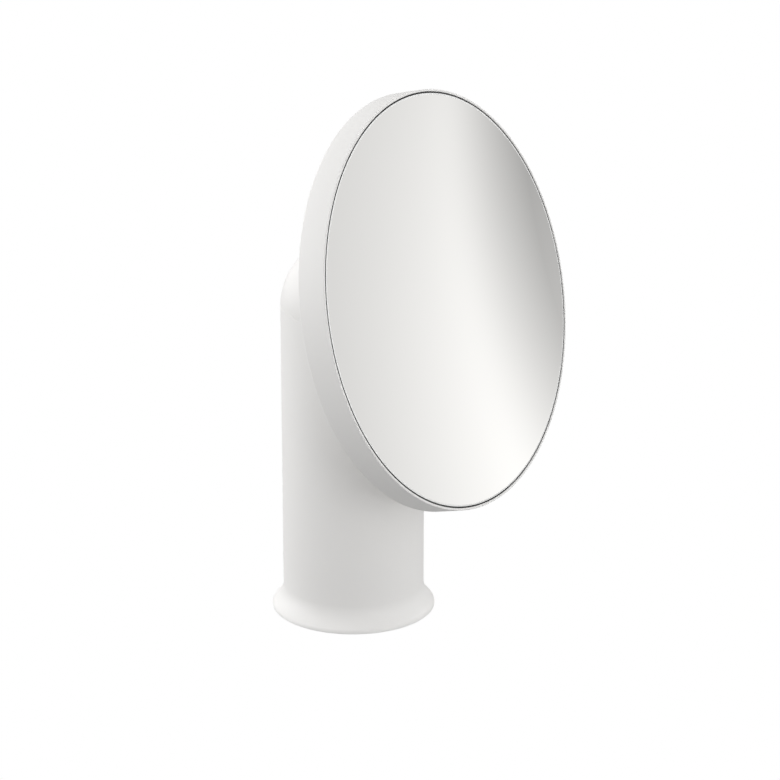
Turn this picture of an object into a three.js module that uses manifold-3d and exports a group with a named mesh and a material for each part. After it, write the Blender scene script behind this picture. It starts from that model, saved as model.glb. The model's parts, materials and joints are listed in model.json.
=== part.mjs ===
// Extendable shaving mirror: a round magnifying mirror that tilts on a short stem, on a domed head
// that swivels, on a tube that pulls up out of a weighted column.
// Units are millimetres and +Z is up. The origin is the middle of the foot's underside, and the
// mirror looks towards -Y.
import * as THREE from 'three';
import { mergeVertices } from 'three/addons/utils/BufferGeometryUtils.js';
import Module from 'manifold-3d';

const wasm = await Module();
wasm.setup();

// ---- Driving dimensions -------------------------------------------------------------------------

const gap = 0.15; // play between pieces that touch

// Mirror, in its own frame: +Z out of the glass, with zero on the column's axis
const mirrorRadius = 100;
const mirrorDepth = 14.7; // flat back to front lip
const mirrorFront = 58.6; // front lip, from the column's axis
const mirrorTilt = 14.7; // degrees that the mirror looks above level
const lipWidth = 1.1; // front lip, which is also the rim's wall
const glassEdgeGap = 0.85; // room for the seal between the lip and the glass
const glassSetback = 0.1; // edge of the glass below the lip
const seal = { inner: 98.25, outer: 98.78, top: 0.35, bottom: 2.2 }; // heights below the lip
const glassThickness = 2.2;
const glassCurve = 780; // radius of the concave face, three times magnifying
const casingFloor = 1.6;
const backRecess = { radius: 23, depth: 2.6, floor: 2.4 }; // where the hinge is sunk into the back

// Column and foot
const columnRadius = 35;
const columnWall = 2;
const columnTop = 157.2;
const footRadius = 40.5;
const footHeight = 13.2; // where the flare starts
const flareRadius = 13.3; // hollow curve of the flare
const flareAngle = 48.8; // degrees that the hollow curve turns
const shellBottom = 0.8; // the shell floats above the table on the rubber foot
const padRadius = 37.8;
const padThickness = 1.45;
const plateBottom = padThickness + gap;
const plateThickness = 1.7;
const ballastBottom = plateBottom + plateThickness + gap;
const ballastTop = 31.5;
const ballastRadius = 33.4;
const baseScrew = { circle: 24, head: 3.6, shaft: 1.9, length: 12 };

// Sliding tube
const mastRadius = 30;
const mastWall = 1.8;
const mastBottom = 38;
const mastTop = 149.5;
const slideTravel = 80;
const bush = { bottom: 140.5, top: 156.9 };
const ring = { height: 151.5, centre: 31.15, section: 0.9, groove: 1.1 }; // grips the tube
const guideKey = { halfWidth: 1.3, bottom: 142, top: 147.5 };
const slot = { halfWidth: 1.6, bottom: guideKey.bottom - slideTravel - 3, top: mastTop - 1.4 };
const shoe = { bottom: mastBottom - 1.7, top: slot.bottom - 1 };
const cap = { bottom: 141.5, flange: 1.5 };
const capScrew = { height: 145.5, radius: 1.5, from: 20, to: 29.8 };
const swivelWasher = { inner: 8, outer: 26 };
const waveWasher = { outer: 9, thickness: 1.35 };

// Head
const seamHeight = 0.3; // fine line between the column and the head
const domeCentre = 156.5;
const domeWall = 1.8;
const neckHeight = 154.8; // where the mirror's axis meets the column's axis
const coreBottom = 152.3;
const coreFlange = { bottom: 157.7, top: 160.5 };
const coreScrew = { circle: 23, radius: 1.5, head: 3, headHeight: 2.2, sunk: 0.4, top: 169 };
const boss = { radius: 4.2, height: 22 }; // posts inside the dome that take the core screws
const bolt = { radius: 3.9, head: 6.5, headHeight: 5, socket: 3.4, socketFloor: 2.2 };
const nut = { radius: 7, bottom: cap.bottom - 8, top: cap.bottom - 1.65 };

// Tilt hinge, in the mirror's frame
const pinDistance = 41;
const pinRadius = 1.75;
const pinEnd = 9.6;
const pinHead = { radius: 3.1, thickness: 1.6 };
const pinNut = { radius: 3.4, end: 9.2 };
const eyeRadius = 3.2;
const stem = { radius: 4.5, bottom: 14, shoulder: 36.4, boss: 8, bossBottom: 11 };
const stemScrew = { radius: 1.9, end: 7.5, places: [19, 27] };
const bracket = { x: 14, y: 11, thickness: 1.8, earRadius: 3.6, earSides: [4.3, 6.5] };
const bracketScrew = { x: 10.5, y: 7.5, head: 2.6, headHeight: 1.45, shaft: 1.4, depth: 2.1 };
const foam = { inner: 55, outer: 85 };

// Facets around a turned body
const facets = { casing: 72, glass: 60, tube: 48, ring: 32, pin: 16, screw: 10, hex: 6 };
const screwAngle = { base: 90, core: 90, mastCap: 30 }; // degrees round Z of the first of three

// ---- Materials ----------------------------------------------------------------------------------

function finish(color, roughness, metalness) {
  return new THREE.MeshStandardMaterial({ color, roughness, metalness });
}

const whitePaint = finish(0xf2f0ec, 0.55, 0);
const silvered = finish(0xdfe3e4, 0.03, 1);
const steel = finish(0xb9bcbe, 0.35, 1);
const castMetal = finish(0x9a9c9e, 0.6, 0.9);
const greyPlastic = finish(0x3c3d3f, 0.6, 0);
const blackRubber = finish(0x1f1f20, 0.85, 0);
const greyFoam = finish(0x6d6f70, 0.95, 0);

// ---- Solids -------------------------------------------------------------------------------------

const radians = THREE.MathUtils.degToRad;

function toSolid(geometry) {
  const bare = geometry.clone();
  for (const name of Object.keys(bare.attributes)) {
    if (name !== 'position') bare.deleteAttribute(name);
  }
  const merged = mergeVertices(bare, 1e-4);
  const corners = merged.index.array;
  const triVerts = [];
  for (let i = 0; i < corners.length; i += 3) {
    const [a, b, c] = corners.slice(i, i + 3);
    if (a !== b && b !== c && c !== a) triVerts.push(a, b, c); // a pole's triangles have no area
  }
  const vertProperties = merged.attributes.position.array;
  return new wasm.Manifold(
    new wasm.Mesh({ numProp: 3, vertProperties, triVerts: new Uint32Array(triVerts) }),
  );
}

function toGeometry(solid) {
  const { vertProperties, triVerts } = solid.getMesh();
  const geometry = new THREE.BufferGeometry();
  geometry.setAttribute('position', new THREE.BufferAttribute(vertProperties, 3));
  geometry.setIndex(new THREE.BufferAttribute(triVerts, 1));
  geometry.computeVertexNormals();
  return geometry;
}

function join(...shapes) {
  return toGeometry(shapes.map(toSolid).reduce((whole, next) => whole.add(next)));
}

function cut(shape, ...tools) {
  return toGeometry(tools.map(toSolid).reduce((whole, tool) => whole.subtract(tool), toSolid(shape)));
}

function keepInside(shape, limit) {
  return toGeometry(toSolid(shape).intersect(toSolid(limit)));
}

// Points of an arc in the plane of a turned outline, from one angle to another in degrees.
function arc(radius, height, size, from, to, steps) {
  return Array.from({ length: steps + 1 }, (_, i) => {
    const angle = radians(from + ((to - from) * i) / steps);
    return [radius + size * Math.cos(angle), height + size * Math.sin(angle)];
  });
}

// A body turned about Z. Its outline is a list of [radius, height], up the outside and down the
// inside, and it starts and ends on the axis or closes on itself.
function turned(outline, segments = facets.tube) {
  const points = outline.map(([radius, height]) => new THREE.Vector2(radius, height));
  const [first, last] = [points[0], points[points.length - 1]];
  if (first.x > 0 || last.x > 0) points.push(first.clone());
  return new THREE.LatheGeometry(points, segments).rotateX(Math.PI / 2);
}

function rod(radius, bottom, top, segments = facets.pin) {
  const length = top - bottom;
  return new THREE.CylinderGeometry(radius, radius, length, segments)
    .rotateX(Math.PI / 2)
    .translate(0, 0, bottom + length / 2);
}

function washer(inner, outer, bottom, top, segments = facets.ring) {
  return turned([[inner, bottom], [outer, bottom], [outer, top], [inner, top]], segments);
}

function block(x, y, z) {
  return new THREE.BoxGeometry(x[1] - x[0], y[1] - y[0], z[1] - z[0]).translate(
    (x[0] + x[1]) / 2,
    (y[0] + y[1]) / 2,
    (z[0] + z[1]) / 2,
  );
}

// A rod turned to lie along X, through the hinge pin's centre.
function crossRod(radius, from, to, segments = facets.pin) {
  return rod(radius, from, to, segments).rotateY(Math.PI / 2).translate(0, 0, pinDistance);
}

function piece(parent, name, geometry, material) {
  const mesh = new THREE.Mesh(geometry, material);
  mesh.name = name;
  parent.add(mesh);
  return mesh;
}

// Runs once for each of the copies spaced evenly around Z, from a first angle in degrees.
function around(count, firstAngle, make) {
  for (let i = 0; i < count; i += 1) {
    const angle = radians(firstAngle + (360 * i) / count);
    make(i + 1, (geometry) => geometry.rotateZ(angle));
  }
}

// ---- Column: shell, ballast, foot, guide bush ---------------------------------------------------

function columnShell() {
  const flareEnd = columnRadius + flareRadius * (1 - Math.cos(radians(flareAngle)));
  const edgeRadius = (footRadius - flareEnd) / (1 - Math.cos(radians(flareAngle)));
  const edgeHeight = footHeight - (flareRadius + edgeRadius) * Math.sin(radians(flareAngle));
  const inside = columnRadius - columnWall;
  const shoulder = ballastTop + gap;
  return turned([
    [padRadius + gap, shellBottom],
    [footRadius - 0.3, shellBottom],
    ...arc(footRadius - edgeRadius, edgeHeight, edgeRadius, 0, flareAngle, 3),
    ...arc(columnRadius + flareRadius, footHeight, flareRadius, 180 + flareAngle, 180, 5).slice(1),
    [columnRadius, columnTop],
    [inside, columnTop],
    [inside, shoulder],
    [ballastRadius + gap, shoulder],
    [ballastRadius + gap, ballastBottom],
    [padRadius + gap, ballastBottom],
  ]);
}

function baseScrewShape(play) {
  const { circle, head, shaft, length } = baseScrew;
  return turned([
    [0, plateBottom],
    [head + play, plateBottom],
    [shaft + play, plateBottom + plateThickness],
    [shaft + play, plateBottom + length + play],
    [0, plateBottom + length + play],
  ], facets.screw).translate(circle, 0, 0);
}

function addColumn(root) {
  piece(root, 'column_shell', columnShell(), whitePaint);

  const holes = [];
  around(3, screwAngle.base, (number, place) => {
    piece(root, `base_screw_${number}`, place(baseScrewShape(0)), steel);
    holes.push(place(baseScrewShape(gap)));
  });
  const ballast = rod(ballastRadius, ballastBottom, ballastTop, facets.ring);
  const plate = rod(padRadius, plateBottom, plateBottom + plateThickness, facets.tube);
  piece(root, 'ballast', cut(ballast, ...holes), castMetal);
  piece(root, 'base_plate', cut(plate, ...holes), steel);
  piece(root, 'foot_pad', rod(padRadius, 0, padThickness, facets.tube), blackRubber);

  const bushOutside = columnRadius - columnWall - gap;
  const sleeve = washer(mastRadius + gap, bushOutside, bush.bottom, bush.top, facets.tube);
  const groove = washer(
    mastRadius - 1,
    ring.centre + ring.section + gap,
    ring.height - ring.groove,
    ring.height + ring.groove,
    facets.tube,
  );
  const keyHole = block(
    [-guideKey.halfWidth - gap, guideKey.halfWidth + gap],
    [mastRadius - 1, columnRadius],
    [guideKey.bottom - gap, guideKey.top + gap],
  );
  piece(root, 'top_bush', cut(sleeve, groove, keyHole), greyPlastic);
  const torus = new THREE.TorusGeometry(ring.centre, ring.section, 6, facets.ring);
  piece(root, 'friction_ring', torus.translate(0, 0, ring.height), blackRubber);
  const key = block(
    [-guideKey.halfWidth, guideKey.halfWidth],
    [mastRadius - mastWall, bushOutside - gap],
    [guideKey.bottom, guideKey.top],
  );
  piece(root, 'guide_key', key, steel);
}

// ---- Mast: the tube that slides up, its shoe and its cap ----------------------------------------

function capScrewShape(play) {
  return rod(capScrew.radius + play, capScrew.from - play, capScrew.to + 5 * play, facets.screw)
    .rotateY(Math.PI / 2)
    .translate(0, 0, capScrew.height);
}

function addMast(root) {
  const inside = mastRadius - mastWall;
  const flangeBottom = mastTop + gap;
  const flangeTop = flangeBottom + cap.flange;
  const holes = [];
  around(3, screwAngle.mastCap, (number, place) => {
    piece(root, `mast_cap_screw_${number}`, place(capScrewShape(0)), steel);
    holes.push(place(capScrewShape(gap)));
  });

  // The slot runs past the guide key over the whole travel, and stops short of both ends.
  const slotWidth = [-slot.halfWidth, slot.halfWidth];
  const tubeSlot = block(slotWidth, [inside - 1, mastRadius + 1], [slot.bottom, slot.top]);
  const tube = washer(inside, mastRadius, mastBottom, mastTop, facets.tube);
  piece(root, 'mast_tube', cut(tube, tubeSlot, ...holes), steel);

  const plug = turned([
    [bolt.radius + gap, cap.bottom],
    [inside - gap, cap.bottom],
    [inside - gap, flangeBottom],
    [mastRadius - gap, flangeBottom],
    [mastRadius - gap, flangeTop],
    [bolt.radius + gap, flangeTop],
  ]);
  const keyWay = block(slotWidth, [inside - 3, mastRadius + 1], [cap.bottom - 1, slot.top]);
  piece(root, 'mast_cap', cut(plug, keyWay, ...holes), castMetal);

  const shoeOutside = columnRadius - columnWall - 0.2;
  const shoeRing = turned([
    [inside, shoe.bottom],
    [shoeOutside, shoe.bottom],
    [shoeOutside, shoe.top],
    [mastRadius + gap, shoe.top],
    [mastRadius + gap, mastBottom - gap],
    [inside, mastBottom - gap],
  ]);
  piece(root, 'guide_shoe', shoeRing, greyPlastic);

  const bearing = washer(swivelWasher.inner, swivelWasher.outer, flangeTop + gap, coreBottom - gap);
  piece(root, 'swivel_washer', bearing, greyPlastic);
  const springTop = cap.bottom - gap;
  const springBottom = springTop - waveWasher.thickness;
  const spring = washer(bolt.radius + 2 * gap, waveWasher.outer, springBottom, springTop, facets.pin);
  piece(root, 'wave_washer', spring, steel);
}

// ---- Head: core, dome, swivel bolt, stem --------------------------------------------------------

function coreScrewShape(play) {
  const { circle, radius, head, headHeight, sunk, top } = coreScrew;
  const headBottom = coreBottom + sunk - 8 * play;
  const headTop = coreBottom + sunk + headHeight + play;
  return turned([
    [0, headBottom],
    [head + play, headBottom],
    [head + play, headTop],
    [radius + play, headTop],
    [radius + play, top + play],
    [0, top + play],
  ], facets.screw).translate(circle, 0, 0);
}

function stemScrewShape(distance, play) {
  const { radius, end } = stemScrew;
  return rod(radius + play, stem.radius + gap - play, end + 8 * play, facets.screw)
    .rotateX(-Math.PI / 2)
    .translate(0, 0, distance);
}

function dome(radius, bottom, steps) {
  const start = THREE.MathUtils.radToDeg(Math.asin((bottom - domeCentre) / radius));
  const skin = arc(0, domeCentre, radius, start, 90, steps).slice(0, -1);
  return [[0, bottom], ...skin, [0, domeCentre + radius]];
}

function addHead(root, tilted) {
  const place = (geometry) => geometry.applyMatrix4(tilted.matrix);
  const domeBottom = columnTop + seamHeight;
  const domeInside = columnRadius - domeWall;
  const coreRadius = domeInside - 2 * gap;

  const screwHoles = [];
  const posts = [];
  around(3, screwAngle.core, (number, turn) => {
    piece(root, `core_screw_${number}`, turn(coreScrewShape(0)), steel);
    screwHoles.push(turn(coreScrewShape(gap)));
    const post = rod(boss.radius, coreFlange.top + gap, domeCentre + boss.height, facets.screw);
    posts.push(turn(post.translate(coreScrew.circle, 0, 0)));
  });

  const outside = turned(dome(columnRadius, domeBottom, 8));
  const hollow = turned(dome(domeInside, domeBottom - 1, 6));
  const stemHole = place(rod(stem.radius + 0.5, 20, 45));
  const postsInside = keepInside(join(...posts), turned(dome(domeInside + 0.6, domeBottom, 6)));
  const cover = cut(join(cut(outside, hollow), postsInside), stemHole, ...screwHoles);
  piece(root, 'dome_cover', cover, whitePaint);

  const coreLimit = join(
    turned(dome(domeInside - 2 * gap, coreFlange.bottom, 6)),
    rod(mastRadius - 0.2, coreBottom, coreFlange.bottom + 0.1, facets.tube),
  );
  const disc = rod(columnRadius, coreBottom, coreFlange.top, facets.tube);
  const stemBoss = place(rod(stem.boss, stem.bossBottom, 40, facets.pin));
  const core = cut(
    keepInside(join(disc, stemBoss), coreLimit),
    place(rod(stem.radius + gap, stem.bottom - gap, 45)),
    rod(bolt.radius + gap, coreBottom - 1, coreFlange.top),
    rod(bolt.head + 0.7, coreFlange.bottom + gap, coreFlange.top + 20),
    ...screwHoles,
    ...stemScrew.places.map((distance) => place(stemScrewShape(distance, gap))),
  );
  piece(root, 'head_core', core, castMetal);

  const boltEnd = nut.bottom - 1;
  const headTop = coreFlange.bottom + bolt.headHeight;
  const boltHead = rod(bolt.head, coreFlange.bottom + 2 * gap, headTop);
  const boltShaft = rod(bolt.radius, boltEnd, coreFlange.bottom + 1);
  const hexSocket = rod(bolt.socket, coreFlange.bottom + bolt.socketFloor, headTop + 1, facets.hex);
  piece(root, 'swivel_bolt', cut(join(boltHead, boltShaft), hexSocket), steel);
  const lockNut = cut(
    rod(nut.radius, nut.bottom, nut.top, facets.hex),
    rod(bolt.radius + gap, boltEnd, cap.bottom),
  );
  piece(root, 'lock_nut', lockNut, steel);

  const eyeSides = [-eyeRadius, eyeRadius];
  const stemShape = cut(
    join(
      rod(stem.radius, stem.bottom, stem.shoulder),
      block(eyeSides, eyeSides, [stem.shoulder - 1, pinDistance]),
      crossRod(eyeRadius, ...eyeSides),
    ),
    crossRod(pinRadius + gap, -pinEnd, pinEnd),
  );
  piece(tilted, 'hinge_stem', stemShape, steel);
  stemScrew.places.forEach((distance, i) => {
    piece(tilted, `stem_screw_${i + 1}`, stemScrewShape(distance, 0), steel);
  });
}

// ---- Mirror: casing, glass, foam, hinge ---------------------------------------------------------

const backPlane = mirrorFront - mirrorDepth;
const recessPlane = backPlane + backRecess.depth;

function casing() {
  const edge = 0.8; // round along the back edge
  const bevel = 0.4; // soft front edge
  const innerFloor = recessPlane + backRecess.floor;
  const wallInside = mirrorRadius - lipWidth;
  return turned([
    [0, recessPlane],
    [backRecess.radius, recessPlane],
    [backRecess.radius, backPlane],
    ...arc(mirrorRadius - edge, backPlane + edge, edge, -90, 0, 3),
    ...arc(mirrorRadius - bevel, mirrorFront - bevel, bevel, 0, 90, 2),
    [wallInside, mirrorFront],
    [wallInside, backPlane + casingFloor],
    [backRecess.radius + backRecess.floor, backPlane + casingFloor],
    [backRecess.radius + backRecess.floor, innerFloor],
    [0, innerFloor],
  ], facets.casing);
}

// Height of the concave face, or of the sheet's back, at a distance from the mirror's axis.
function glassHeight(radius, depthBehindFace) {
  const edgeRadius = mirrorRadius - lipWidth - glassEdgeGap;
  const centreOfCurve = mirrorFront - glassSetback + Math.sqrt(glassCurve ** 2 - edgeRadius ** 2);
  return centreOfCurve - Math.sqrt((glassCurve + depthBehindFace) ** 2 - radius ** 2);
}

function sheetLine(from, to, depthBehindFace, steps) {
  return Array.from({ length: steps + 1 }, (_, i) => {
    const radius = from + ((to - from) * i) / steps;
    return [radius, glassHeight(radius, depthBehindFace)];
  });
}

const plateFront = recessPlane - gap;
const plateBack = plateFront - bracket.thickness;

function bracketScrewShape(x, y, play) {
  const { head, headHeight, shaft, depth } = bracketScrew;
  const end = recessPlane + depth + 2 * play;
  return turned([
    [0, plateBack - gap - headHeight],
    [head, plateBack - gap - headHeight],
    [head, plateBack - gap],
    [shaft + play, plateBack - gap],
    [shaft + play, end],
    [0, end],
  ], facets.screw).translate(x, y, 0);
}

// The two faces across X of a piece that sits on one side of the pin's middle.
function sideways(side, near, far) {
  return side > 0 ? [near, far] : [-far, -near];
}

function addHinge(tilted, holes) {
  const [earInside, earOutside] = bracket.earSides;
  const pinHole = crossRod(pinRadius + gap, -pinEnd, pinEnd);
  const plate = block([-bracket.x, bracket.x], [-bracket.y, bracket.y], [plateBack, plateFront]);
  const ears = [-1, 1].flatMap((side) => {
    const faces = sideways(side, earInside, earOutside);
    return [
      block(faces, [-bracket.earRadius, bracket.earRadius], [pinDistance, plateBack + 1]),
      crossRod(bracket.earRadius, ...faces),
    ];
  });
  piece(tilted, 'hinge_bracket', cut(join(plate, ...ears), pinHole, ...holes), steel);

  const headInside = -earOutside - gap;
  const pin = join(
    crossRod(pinHead.radius, headInside - pinHead.thickness, headInside),
    crossRod(pinRadius, headInside - 1, pinEnd),
  );
  piece(tilted, 'hinge_pin', pin, steel);
  const nutShape = crossRod(pinNut.radius, earOutside + gap, pinNut.end, facets.hex);
  piece(tilted, 'pin_nut', cut(nutShape, pinHole), steel);
  [-1, 1].forEach((side, i) => {
    const disc = crossRod(eyeRadius - 0.2, ...sideways(side, eyeRadius + gap, earInside - gap));
    piece(tilted, `friction_washer_${i + 1}`, cut(disc, pinHole), greyPlastic);
  });
}

function addMirror(tilted) {
  const screwPlaces = [-1, 1].flatMap((x) => (
    [-1, 1].map((y) => [x * bracketScrew.x, y * bracketScrew.y])
  ));
  const holes = screwPlaces.map(([x, y]) => bracketScrewShape(x, y, gap));
  screwPlaces.forEach(([x, y], i) => {
    piece(tilted, `bracket_screw_${i + 1}`, bracketScrewShape(x, y, 0), steel);
  });
  piece(tilted, 'mirror_casing', cut(casing(), ...holes), whitePaint);

  const glassRadius = mirrorRadius - lipWidth - glassEdgeGap;
  const glass = turned([
    ...sheetLine(0, glassRadius, glassThickness, 4),
    ...sheetLine(glassRadius, 0, 0, 4),
  ], facets.glass);
  piece(tilted, 'mirror_glass', glass, silvered);

  const sealRing = washer(
    seal.inner,
    seal.outer,
    mirrorFront - seal.bottom,
    mirrorFront - seal.top,
    facets.casing,
  );
  piece(tilted, 'glass_seal', sealRing, blackRubber);

  const foamBottom = backPlane + casingFloor + gap;
  const foamTop = sheetLine(foam.outer, foam.inner, glassThickness, 2)
    .map(([radius, height]) => [radius, height - 2 * gap]);
  const foamRing = turned([[foam.inner, foamBottom], [foam.outer, foamBottom], ...foamTop], facets.ring);
  piece(tilted, 'foam_pad', foamRing, greyFoam);

  addHinge(tilted, holes);
}

// ---- Assembly -----------------------------------------------------------------------------------

const shavingMirror = new THREE.Group();
const tilted = new THREE.Group();
tilted.position.set(0, 0, neckHeight);
tilted.rotation.x = Math.PI / 2 - radians(mirrorTilt);
tilted.updateMatrix();
shavingMirror.add(tilted);

addColumn(shavingMirror);
addMast(shavingMirror);
addHead(shavingMirror, tilted);
addMirror(tilted);

export default shavingMirror;
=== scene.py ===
# %% [markdown]
# # An extendable shaving mirror
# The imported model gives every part's place and every joint. This script loads it as a fixed frame,
# then builds the surfaces that are seen: turned white shells, a concave looking glass and a small
# steel hinge. Everything is in metres, so sizes in millimetres are multiplied by `mm`.

# %% Load the frame
import json
import math

import bpy
from mathutils import Matrix, Vector


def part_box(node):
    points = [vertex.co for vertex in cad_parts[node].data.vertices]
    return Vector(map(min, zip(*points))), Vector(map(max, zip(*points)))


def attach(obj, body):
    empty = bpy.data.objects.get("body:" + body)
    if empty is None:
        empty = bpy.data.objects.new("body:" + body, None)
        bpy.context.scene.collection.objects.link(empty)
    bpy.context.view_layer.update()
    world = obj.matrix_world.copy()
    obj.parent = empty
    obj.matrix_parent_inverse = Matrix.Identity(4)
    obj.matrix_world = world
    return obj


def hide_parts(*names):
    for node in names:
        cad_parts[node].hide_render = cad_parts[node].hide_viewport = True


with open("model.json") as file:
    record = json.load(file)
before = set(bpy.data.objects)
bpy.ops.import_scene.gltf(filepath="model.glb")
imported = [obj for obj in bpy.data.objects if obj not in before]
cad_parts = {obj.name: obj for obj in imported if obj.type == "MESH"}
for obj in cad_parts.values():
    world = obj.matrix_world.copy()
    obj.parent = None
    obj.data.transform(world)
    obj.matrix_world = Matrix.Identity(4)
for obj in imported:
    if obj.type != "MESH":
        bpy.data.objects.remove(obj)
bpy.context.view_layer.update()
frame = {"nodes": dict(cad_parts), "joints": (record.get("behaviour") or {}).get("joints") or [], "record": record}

mm = 0.001

# %% [markdown]
# ## The camera
# The camera stands well back with a long lens, so that the mirror's rim stays a true ellipse. It
# is placed by two angles and a distance round a point on the object, because those are the numbers
# that a person would change, and it is turned to look at that point.

# %% Camera
VIEW_AZIMUTH = math.radians(-56.71)
VIEW_ELEVATION = math.radians(19.29)
VIEW_DISTANCE = 1481.9 * mm
LENS = 139.74
AIM_HEIGHT = 113.35 * mm
AIM_SIDEWAYS = 18.2 * mm

view_right = Vector((math.cos(VIEW_AZIMUTH), math.sin(VIEW_AZIMUTH), 0))
view_back = Vector((
    math.sin(VIEW_AZIMUTH) * math.cos(VIEW_ELEVATION),
    -math.cos(VIEW_AZIMUTH) * math.cos(VIEW_ELEVATION),
    math.sin(VIEW_ELEVATION),
))
aim = Vector((0, 0, AIM_HEIGHT)) + view_right * AIM_SIDEWAYS
bpy.ops.object.camera_add(location=aim + view_back * VIEW_DISTANCE)
camera = bpy.context.object
camera.rotation_mode = "QUATERNION"
camera.rotation_quaternion = (-view_back).to_track_quat("-Z", "Y")
camera.data.lens = LENS
camera.data.sensor_width = 36
camera.data.clip_end = 100
bpy.context.scene.camera = camera
print("camera at", tuple(round(value, 3) for value in camera.location))

# %% [markdown]
# ## Sizes from the frame
# A node's box gives the sizes that matter: how tall the column is, how wide the foot and the dome
# are. A few more are chosen once here, such as the clearance of every fit. The mirror leans back,
# so its pieces are made upright at the origin and then turned into place together.

# %% Sizes
def low(node):
    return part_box(node)[0] / mm


def high(node):
    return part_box(node)[1] / mm


tilt_joint = next(joint for joint in frame["joints"] if joint["name"] == "mirror_tilt")
pin_centre = Vector(tilt_joint["pos_m"]) / mm
mirror_tilt = math.radians(14.7)
glass_axis = Vector((0, -math.cos(mirror_tilt), math.sin(mirror_tilt)))
pin_distance = -pin_centre.y / math.cos(mirror_tilt)
neck = pin_centre - glass_axis * pin_distance

column_radius = high("dome_cover").x
column_top = high("column_shell").z
foot_radius = high("column_shell").x
dome_radius = column_radius
dome_centre = high("dome_cover").z - dome_radius
mirror_radius = high("mirror_casing").x
mirror_depth = 14.7
mirror_front = 58.6
mirror_back = mirror_front - mirror_depth
FIT_GAP = 0.15  # between a piece and the hole or seat that it fits
print("column", column_radius, "foot", foot_radius, "mirror", mirror_radius, "neck", neck)

# %% [markdown]
# ## Tools for turning
# Nearly every piece here was turned on a lathe, spun from sheet or moulded round an axis. A lathe
# in Blender is the Spin operator: half an outline is drawn as a chain of vertices, by extruding
# one vertex from point to point, and Spin carries it once round Z. The alternative, a cylinder
# with loops cut in it, would need as many steps and would hide the outline that matters.

# %% Selecting, drawing and spinning
FINE = 192


def only(piece):
    """Selects one object and makes it the active one."""
    bpy.ops.object.select_all(action="DESELECT")
    piece.select_set(True)
    bpy.context.view_layer.objects.active = piece


def arc(radius, height, size, start, end, steps):
    """Points of an arc round (radius, height), from one angle to another in degrees."""
    angles = [math.radians(start + (end - start) * i / steps) for i in range(steps + 1)]
    return [(radius + size * math.cos(a), height + size * math.sin(a)) for a in angles]


def draw(name, outline):
    """Extrudes one vertex along the outline, in the XZ plane, and leaves it in edit mode."""
    bpy.ops.object.select_all(action="DESELECT")
    bpy.ops.mesh.primitive_plane_add(size=mm)
    piece = bpy.context.object
    piece.name = piece.data.name = name
    bpy.ops.object.mode_set(mode="EDIT")
    bpy.ops.mesh.merge(type="CENTER")
    points = [Vector((radius, 0, height)) * mm for radius, height in outline]
    bpy.ops.transform.translate(value=points[0])
    for before, after in zip(points, points[1:]):
        bpy.ops.mesh.extrude_region_move(TRANSFORM_OT_translate={"value": after - before})
    return piece


def turned(name, outline, steps=FINE):
    """A closed body spun round Z from [(radius, height)], up the outside and down the inside.

    The outline starts and ends on the axis, or closes on itself.
    """
    if outline[0][0] > 0:
        outline = [*outline, outline[0]]
    piece = draw(name, outline)
    bpy.ops.mesh.select_all(action="SELECT")
    bpy.ops.mesh.spin(steps=steps, angle=math.tau, center=(0, 0, 0), axis=(0, 0, 1))
    bpy.ops.mesh.select_all(action="SELECT")
    bpy.ops.mesh.remove_doubles(threshold=0.0005 * mm)
    bpy.ops.mesh.normals_make_consistent(inside=False)
    bpy.ops.object.mode_set(mode="OBJECT")
    return piece


# %% [markdown]
# ## Tools for cutting, joining and placing
# Holes and slots are made as in a workshop, with a tool of the hole's shape: a Boolean modifier
# that is applied at once. A Bevel modifier then breaks the edges, because no real edge is sharp,
# and a soft edge catches the light.

# %% Cutting, beveling, placing
BEVEL_ANGLE = math.radians(35)


def combine(piece, tool, operation="DIFFERENCE"):
    """Cuts the tool out of the piece, or joins or intersects them, and removes the tool."""
    only(piece)
    bpy.ops.object.modifier_add(type="BOOLEAN")
    boolean = piece.modifiers[-1]
    boolean.operation = operation
    boolean.object = tool
    boolean.solver = "EXACT"
    bpy.ops.object.modifier_apply(modifier=boolean.name)
    bpy.data.objects.remove(tool)
    return piece


def bevel(piece, width):
    """Breaks every edge that turns more than the bevel angle."""
    only(piece)
    bpy.ops.object.modifier_add(type="BEVEL")
    edges = piece.modifiers[-1]
    edges.width = width * mm
    edges.segments = 2
    edges.limit_method = "ANGLE"
    edges.angle_limit = BEVEL_ANGLE
    bpy.ops.object.modifier_apply(modifier=edges.name)
    return piece


def settle(piece):
    """Puts the object's place into its mesh, so that the object sits at the origin."""
    only(piece)
    bpy.ops.object.transform_apply(location=True, rotation=True, scale=True)
    return piece


def block(name, x, y, z):
    """A box between two places along each axis, in millimetres."""
    bpy.ops.object.select_all(action="DESELECT")
    centre = Vector((sum(x), sum(y), sum(z))) / 2 * mm
    bpy.ops.mesh.primitive_cube_add(size=mm, location=centre)
    piece = bpy.context.object
    piece.name = piece.data.name = name
    piece.scale = (x[1] - x[0], y[1] - y[0], z[1] - z[0])
    return settle(piece)


def rod(name, radius, bottom, top, sides=64):
    """A plain cylinder along Z, which is a tool or the start of a piece."""
    bpy.ops.object.select_all(action="DESELECT")
    bpy.ops.mesh.primitive_cylinder_add(
        vertices=sides, radius=radius * mm, depth=(top - bottom) * mm,
        location=(0, 0, (top + bottom) / 2 * mm))
    piece = bpy.context.object
    piece.name = piece.data.name = name
    return settle(piece)


def lay_along_x(piece, height):
    """Turns a piece from Z to lie along X, and lifts it to a height in millimetres."""
    piece.rotation_euler = (0, math.pi / 2, 0)
    piece.location = (0, 0, height * mm)
    return settle(piece)


def lay_along_y(piece, height):
    """Turns a piece from Z to lie along Y, and lifts it to a height in millimetres."""
    piece.rotation_euler = (-math.pi / 2, 0, 0)
    piece.location = (0, 0, height * mm)
    return settle(piece)


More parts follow.
